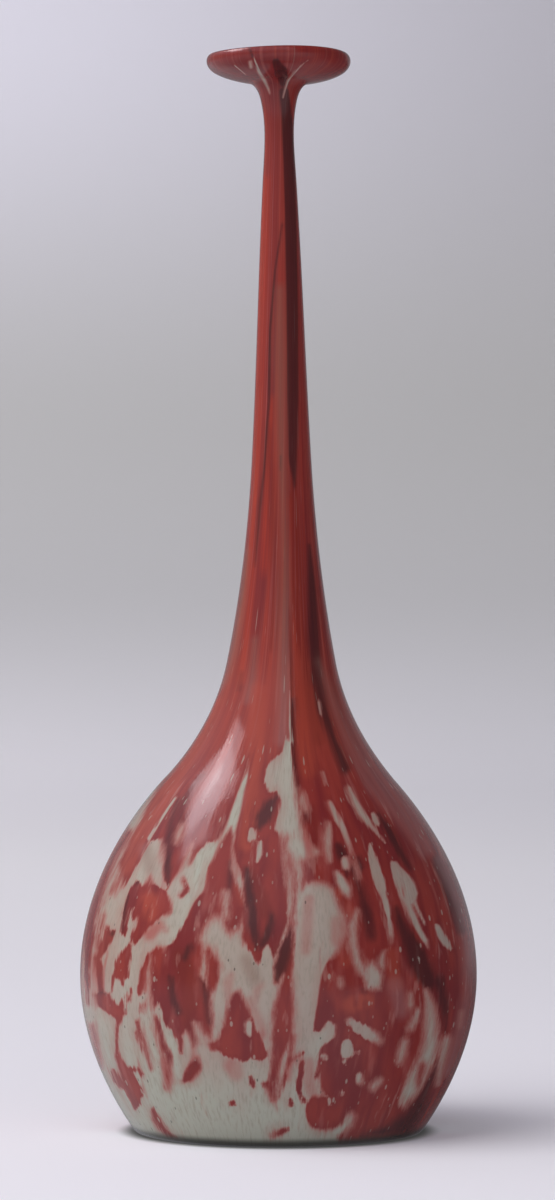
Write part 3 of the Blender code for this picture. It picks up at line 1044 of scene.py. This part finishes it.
def attribute(name, output):
    settings = {"attribute_type": "GEOMETRY", "attribute_name": name}
    return root.node("ShaderNodeAttribute", settings, {}, output)


place_in_gather = attribute("gather", "Vector")
surface = root.node("ShaderNodeTexCoord", {}, {}, "Object")
red, dark, warm, pink, veil_and_sheen, deep = [
    attribute(name, "Fac") for name in ("red", "dark", "warm", "pink", "veil_and_sheen", "deep")
]
print(len(nodes.nodes), "nodes to start with")

# %% [markdown]
# Two kinds of noise make all the fine detail. Clouds are read at the place in the gather with its
# height halved, so they come out as streaks along the pull. Seeds are the small bubbles and stones
# in the glass: spots around scattered points of the gather, which the pull alone draws out.

# %% Noise that was blown and pulled with the glass
COMB = (1.0, 1.0, 0.5)
combed = root.node(
    "ShaderNodeVectorMath", {"operation": "MULTIPLY"}, {0: place_in_gather, 1: COMB}
)


def moved(where, offset):
    return where.node("ShaderNodeVectorMath", {"operation": "ADD"}, {0: where, 1: offset})


def cloud(scale, detail, where=combed, offset=(0.0, 0.0, 0.0)):
    """Noise between 0 and 1, with features about 1/scale metres apart; offset picks a new part."""
    sockets = {"Vector": moved(where, offset), "Scale": scale, "Detail": detail}
    return where.node("ShaderNodeTexNoise", {}, sockets)


def seeds(scale, radius, offset):
    """1 in small scattered spots, drawn out with the glass as its bubbles are."""
    sockets = {"Vector": moved(place_in_gather, offset), "Scale": scale}
    return root.node("ShaderNodeTexVoronoi", {}, sockets, "Distance").step(radius, radius * 0.6)


print(len(nodes.nodes), "nodes with the combed place")

# %% [markdown]
# The stored depth says how far a point lies inside the red. Noise added to it makes the edge ragged,
# and dividing it makes the edge soft or sharp; both change from place to place, because some chips
# melted in and others flowed. Towards the neck the edges turn less loose, as the pull sharpened them.

# %% Where red glass lies over the pale
SHOULDER_TOP, NECK_START, NECK_MIDDLE = 0.10, 0.17, 0.24
height = root.node("ShaderNodeSeparateXYZ", {}, {0: surface}, "Z")
on_neck = height.step(SHOULDER_TOP, NECK_START)
loose = 1.0 - 0.75 * height.step(SHOULDER_TOP, NECK_MIDDLE)
roughly = (0.5 + 2.4 * cloud(70, 1, offset=(0.4, 0.1, 0.0)).step(0.38, 0.62)) * loose
ragged = cloud(800, 3, offset=(0.3, 0.0, 0.0)) - 0.5
frayed = cloud(2600, 2, offset=(0.0, 0.4, 0.0)) - 0.5
softness = (0.25 + 1.1 * cloud(110, 1, offset=(0.9, 0.0, 0.0)).step(0.38, 0.68)) * loose
edge = (red + roughly * ragged) / softness + 1.1 * frayed
thin_red = edge.step(-2.0, 0.4)
red_mask = edge.step(-0.7, 1.3)
near_red = (red + 5.0 * ragged).step(-3.8, -0.2) * loose
print(len(nodes.nodes), "nodes with the edges")

# %% [markdown]
# The pale glass isn't one colour: greener near the foot, creamier higher up, with a fine grain, a pink
# blush beside the red, a few faint red stains and tiny dark stones.

# %% The pale glass
GREEN_UP_TO = 0.045
broad = cloud(60, 2, offset=(0.2, 0.2, 0.5))
grain = cloud(1500, 3, offset=(0.6, 0.2, 0.0))
foot_tint = height.step(GREEN_UP_TO, 0.0)
pale = (broad + 0.35 * foot_tint).step(0.45, 0.75).tint(PALE_CREAM, PALE_GREEN)
pale = (grain.step(0.45, 0.75) * 0.5).tint(pale, PALE_SHADE)
blush = cloud(170, 2, offset=(0.5, 0.5, 0.0)).step(0.32, 0.68)
pale = (near_red * blush * 0.50).tint(pale, PALE_ROSE)
stains = cloud(260, 3, offset=(0.4, 0.8, 0.2)).step(0.62, 0.70)
pale = (stains * blush * 0.75).tint(pale, ROSE)
pale = (pink * (0.45 + 0.40 * blush)).tint(pale, ROSE)
specks = seeds(330, 0.09, (0.0, 0.0, 0.3))
pale = (specks * 0.6).tint(pale, STONE)
print(len(nodes.nodes), "nodes with the pale glass")

# %% [markdown]
# The red is brick red and maroon in slow drifts. On the neck they are drawn into strips and threads,
# brighter and darker side by side. Over them lie the streaks, the thin spots where the pale shines
# through, the brown glass with some painted shade, the veils with some painted sheen and the bubbles,
# each laid over the last as a new coat would be. A dark band where the heel turns under is painted
# shade: the shadow of the gap under the heel.

# %% The red glass
LIP_SHADE_FROM, LIP_SHADE_FULL = 0.310, 0.323
HEEL_SHADE_TOP, HEEL_SHADE_FULL = 0.0034, 0.0011
streaks = cloud(420, 3, offset=(0.1, 0.7, 0.0))
mottle = cloud(180, 2, offset=(0.3, 0.9, 0.0))
red_glass = mottle.step(0.40, 0.70).tint(BRICK, MAROON)
strips = cloud(52, 2, offset=(0.8, 0.6, 0.1))
red_glass = (strips.step(0.48, 0.60) * on_neck * 0.45).tint(red_glass, FLAME)
red_glass = (strips.step(0.46, 0.36) * on_neck * 0.5).tint(red_glass, MAROON)
red_glass = (warm * 0.7).tint(red_glass, on_neck.tint(ORANGE, FLAME))
red_glass = (deep * 0.6).tint(red_glass, DEEP_RED)
red_glass = (streaks.step(0.50, 0.72) * 0.5).tint(red_glass, MAROON)
red_glass = (edge.step(6.0, 1.5) * 0.25).tint(red_glass, MAROON)
# painted shade: the red turns darker towards the top edge of the lip
red_glass = (height.step(LIP_SHADE_FROM, LIP_SHADE_FULL) * 0.5).tint(red_glass, MAROON)
thin_spots = cloud(300, 3, offset=(0.7, 0.3, 0.2)).step(0.54, 0.78)
red_glass = (thin_spots * 0.5).tint(red_glass, ROSE)
wisps = cloud(340, 3, offset=(0.2, 0.9, 0.4)).step(0.60, 0.70) * (1.0 - on_neck)
red_glass = (wisps * 0.55).tint(red_glass, WISP)
threads = cloud(900, 2, offset=(0.9, 0.4, 0.3)) * on_neck
red_glass = (threads.step(0.48, 0.66) * 0.4).tint(red_glass, MAROON)
red_glass = (threads.step(0.42, 0.30) * threads.step(0.0, 0.1) * 0.35).tint(red_glass, ORANGE)
brown_mask = ((dark + 2.4 * ragged * loose) / (softness + 0.9 * loose)).step(-0.8, 1.2)
red_glass = (brown_mask * 0.82).tint(red_glass, BROWN)
# veils of clear glass, and along the edges a painted sheen
red_glass = (veil_and_sheen * (0.25 + 0.4 * streaks)).tint(red_glass, on_neck.tint(VEIL_AND_SHEEN_ROSE, VEIL_AND_SHEEN_GREY))
bubbles = seeds(250, 0.12, (0.0, 0.2, 0.0)) * 0.6 + seeds(460, 0.13, (0.3, 0.0, 0.0)) * 0.35
red_glass = (bubbles * loose).tint(red_glass, PALE_CREAM)

# the same veils and painted sheen over the pale glass
pale = (veil_and_sheen * 0.45).tint(pale, VEIL_AND_SHEEN_GREY)
colour = (thin_red * 0.8).tint(pale, ROSE)
colour = red_mask.tint(colour, red_glass)
# painted shade of the gap under the heel, darker towards the floor
colour = (height.step(HEEL_SHADE_TOP, HEEL_SHADE_FULL) * 0.9).tint(colour, HEEL_SHADE)
print(len(nodes.nodes), "nodes with the red glass")

# %% [markdown]
# The surface is fire-polished: glossy, with slow waves, faint pits and the streaks just felt. The
# gloss varies a little, as on glass that has been handled and washed for a long time. A little
# subsurface light makes the glass milky rather than painted.

# %% Relief and gloss
waves = cloud(50, 1, where=surface)
pits = cloud(1500, 2, where=surface)
relief = waves * 0.5 + pits * 0.03 + streaks * 0.08
bump = root.node("ShaderNodeBump", {}, {"Strength": 1.0, "Distance": 0.0006, "Height": relief})
gloss = 0.06 + 0.09 * cloud(120, 2, where=surface, offset=(0.0, 0.0, 0.7))

nodes.links.new(colour.socket, shader.inputs["Base Color"])
nodes.links.new(gloss.socket, shader.inputs["Roughness"])
nodes.links.new(bump.socket, shader.inputs["Normal"])
shader.inputs["IOR"].default_value = 1.5
shader.inputs["Subsurface Weight"].default_value = 0.15
shader.inputs["Subsurface Radius"].default_value = (1.0, 0.6, 0.4)
shader.inputs["Subsurface Scale"].default_value = 0.003
print(len(nodes.nodes), "nodes")

# %% [markdown]
# The bottle is one piece. It rides on the frame's only body, stands in for the plain solid, which is
# hidden, and wears the marbled finish.

# %% Put it on the bottle
glass.materials.append(marbled)
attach(bottle, "root")
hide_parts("bottle")
print("the bottle wears", glass.materials[0].name)

# %% [markdown]
# ## Floor, backdrop and light
#
# The stage is a pale paper sweep: a floor that curves up into a wall with no corner, spun all the
# way round so that every view has a plain backdrop.

# %% Sweep
SWEEP_FLOOR = 3.0
SWEEP_CURVE = 0.9
SWEEP_HEIGHT = 2.4
SWEEP_STEPS = 12
SWEEP_SEGMENTS = 96

sweep_bm = bmesh.new()
sweep_outline = [Vector((0.0, 0.0)), Vector((SWEEP_FLOOR, 0.0))]
for step in range(1, SWEEP_STEPS + 1):
    angle = math.pi / 2 * step / SWEEP_STEPS
    sweep_outline.append(
        Vector((SWEEP_FLOOR + SWEEP_CURVE * math.sin(angle), SWEEP_CURVE * (1 - math.cos(angle))))
    )
sweep_outline.append(Vector((SWEEP_FLOOR + SWEEP_CURVE, SWEEP_HEIGHT)))
spin(sweep_bm, sweep_outline, SWEEP_SEGMENTS)
bmesh.ops.remove_doubles(sweep_bm, verts=sweep_bm.verts, dist=MERGE)
bmesh.ops.recalc_face_normals(sweep_bm, faces=sweep_bm.faces)
if sweep_bm.faces[0].normal.z < 0:
    bmesh.ops.reverse_faces(sweep_bm, faces=sweep_bm.faces)
sweep_mesh = bpy.data.meshes.new("sweep")
sweep_bm.to_mesh(sweep_mesh)
sweep_bm.free()
sweep_mesh.shade_smooth()
sweep = bpy.data.objects.new("sweep", sweep_mesh)
bpy.context.scene.collection.objects.link(sweep)
print(len(sweep_mesh.polygons), "faces in the sweep")

# %% [markdown]
# Studio paper falls off in brightness away from the light. More lamps could do that, but they would
# also light the bottle, so the paper's own tone carries it as painted light: bright on the left, darker
# to the right, with a soft grey band where the floor turns up. A weak glow, painted light too, keeps
# the paper pale in the bottle's shade. A dark spot under the bottle, of which a narrow ring shows, is
# a painted contact shadow under the heel.

# %% Paper, toned as the photograph's backdrop is
LEFT_TONES = {
    "near": srgb(232, 230, 238), "far": srgb(254, 253, 255),
    "middle": srgb(186, 186, 185), "high": srgb(224, 223, 232),
}
RIGHT_TONES = {
    "near": srgb(222, 221, 227), "far": srgb(210, 210, 213),
    "middle": srgb(168, 168, 167), "high": srgb(173, 172, 177),
}
NEAR_GLOW = srgb(142, 142, 148)
FAR_GLOW = srgb(190, 189, 195)
HEEL_SHADOW_ON_PAPER = srgb(58, 60, 52)
GLOW = 0.40
HALF_WIDTH = 0.6
FAR_FLOOR = 1.8
GLOW_FAR = 1.6
BACKWARDS = (-1.0, 1.5)
BAND = (-0.10, 0.22)
ABOVE_BAND = (0.38, 0.95)
WALL_GLOW = (0.0, 0.5)
HEEL_SHADOW_REACH = (0.0505, 0.0440)

paper = bpy.data.materials.new("sweep_paper")
paper.use_nodes = True
paper_shader = paper.node_tree.nodes["Principled BSDF"]
sheet = Signal(paper.node_tree)
spot = sheet.node("ShaderNodeTexCoord", {}, {}, "Object")
across, back, up = [sheet.node("ShaderNodeSeparateXYZ", {}, {0: spot}, axis) for axis in "XYZ"]
behind = back.step(*BACKWARDS)


def by_distance(tones):
    """The paper's tone from the near floor over the far floor up to the top of the wall."""
    tone = back.step(0.0, FAR_FLOOR).tint(tones["near"], tones["far"])
    tone = (up.step(*BAND) * behind).tint(tone, tones["middle"])
    return (up.step(*ABOVE_BAND) * behind).tint(tone, tones["high"])


tone = across.step(-HALF_WIDTH, HALF_WIDTH).tint(by_distance(LEFT_TONES), by_distance(RIGHT_TONES))
# painted light: the paper glows by itself, more on the far floor and the wall, to stay pale in shade
glow = back.step(0.0, GLOW_FAR).tint(NEAR_GLOW, FAR_GLOW)
glow = (up.step(*WALL_GLOW) * behind).tint(glow, tone)
# painted shadow: the paper darkens in a narrow ring around the foot, as the contact shadow of the heel
from_foot = sheet.node("ShaderNodeVectorMath", {"operation": "LENGTH"}, {0: spot}, "Value")
shaded = from_foot.step(*HEEL_SHADOW_REACH) * 0.85
tone = shaded.tint(tone, HEEL_SHADOW_ON_PAPER)
glow = shaded.tint(glow, HEEL_SHADOW_ON_PAPER)
paper.node_tree.links.new(tone.socket, paper_shader.inputs["Base Color"])
paper.node_tree.links.new(glow.socket, paper_shader.inputs["Emission Color"])
paper_shader.inputs["Emission Strength"].default_value = GLOW
paper_shader.inputs["Roughness"].default_value = 0.9
paper_shader.inputs["Specular IOR Level"].default_value = 0.2
sweep_mesh.materials.append(paper)
sweep.visible_glossy = False
print("sweep", SWEEP_FLOOR + SWEEP_CURVE, "m in radius")

# %% [markdown]
# What lights the glass and what it mirrors are kept apart, because gloss shows the shape of a lamp.
# Three soft panels give the shading and throw the shadow to the right, and are left out of all
# reflections. Three others are only ever seen as reflections: together they are the window that makes
# the long rosy highlight on the shoulder, with a small bright core.

# %% Lights
AIM = Vector((0.0, 0.0, 0.13))


def panel(name, azimuth, elevation, distance, size, power, colour, roll=0.0):
    """A soft panel that faces the bottle; azimuth 0 is the camera's side and 90 the left."""
    a, e = math.radians(azimuth), math.radians(elevation)
    direction = Vector((-math.sin(a) * math.cos(e), -math.cos(a) * math.cos(e), math.sin(e)))
    light = bpy.data.lights.new(name, "AREA")
    light.shape = "RECTANGLE"
    light.size, light.size_y = size
    light.energy = power
    light.color = colour
    thing = bpy.data.objects.new(name, light)
    thing.location = AIM + direction * distance
    facing_bottle = direction.to_track_quat("Z", "Y")
    thing.rotation_euler = (facing_bottle @ Quaternion((0.0, 0.0, 1.0), math.radians(roll))).to_euler()
    thing.visible_camera = False
    bpy.context.scene.collection.objects.link(thing)
    return thing


# name, azimuth, elevation, distance, size, power, colour
key = panel("key_panel", 60, 46, 1.6, (1.6, 1.6), 20.0, (1.0, 1.0, 0.97))
fill = panel("fill_panel", 84, 15, 2.6, (2.2, 1.2), 11, (1.0, 1.0, 1.0))
lift = panel("lift_panel", -30, 14, 2.4, (2.0, 1.6), 5.5, (1.0, 0.99, 0.99))
window = panel("window_panel", 99, 53, 1.6, (1.00, 0.46), 4.6, (1.0, 0.84, 0.88), roll=-26)
pane = panel("window_pane", 111, 55, 1.6, (0.78, 0.66), 4.3, (1.0, 0.88, 0.92), roll=7)
core = panel("window_core", 109, 54, 1.6, (0.26, 0.14), 0.32, (1.0, 1.0, 1.0), roll=-26)
for light in (key, fill, lift):
    light.visible_glossy = False
for light in (window, pane, core):
    light.visible_diffuse = False
print(sum(thing.type == "LIGHT" for thing in bpy.context.scene.objects), "lights")

# %% [markdown]
# Glass without a room around it looks dead. The world is that room: a lighter wall on the left, a dark
# side on the right and a floor below. The sharp upright line on the neck is the edge between the
# light wall and the dark side, mirrored in a round form, so its angle was solved from where the line
# shows on the neck.

# %% The room that the glass mirrors
ROOM_EDGE = math.radians(28)
ROOM_BRIGHT = srgb(206, 202, 212)
ROOM_LOW = srgb(160, 150, 144)
ROOM_DARK = srgb(88, 82, 84)
ROOM_BACK = srgb(140, 137, 142)
FLOOR_BRIGHT = srgb(186, 186, 192)
FLOOR_DARK = srgb(84, 80, 84)
FLOOR_BELOW = srgb(150, 148, 154)
FLOOR_EDGE = math.radians(36)

world = bpy.data.worlds.new("room")
world.use_nodes = True
room = Signal(world.node_tree)
background = world.node_tree.nodes["Background"]
looking = room.node("ShaderNodeTexCoord", {}, {}, "Generated")
right, rear, above = [room.node("ShaderNodeSeparateXYZ", {}, {0: looking}, axis) for axis in "XYZ"]
beyond = right * math.cos(ROOM_EDGE) + rear * math.sin(ROOM_EDGE)
walls = above.step(0.15, 0.6).tint(ROOM_LOW, ROOM_BRIGHT)
walls = beyond.step(-0.02, 0.02).tint(walls, ROOM_DARK)
walls = rear.step(0.55, 0.9).tint(walls, ROOM_BACK)
far_side = right * math.cos(FLOOR_EDGE) + rear * math.sin(FLOOR_EDGE)
ground = far_side.step(0.1, 0.8).tint(FLOOR_BRIGHT, FLOOR_DARK)
ground = above.step(-0.5, -0.9).tint(ground, FLOOR_BELOW)
all_round = above.step(-0.02, -0.12).tint(walls, ground)
world.node_tree.links.new(all_round.socket, background.inputs["Color"])
background.inputs["Strength"].default_value = 1.0
bpy.context.scene.world = world
bpy.context.scene.view_settings.view_transform = "Standard"
bpy.context.scene.view_settings.look = "None"
print(f"the dark side starts {math.degrees(ROOM_EDGE):.0f} degrees round")
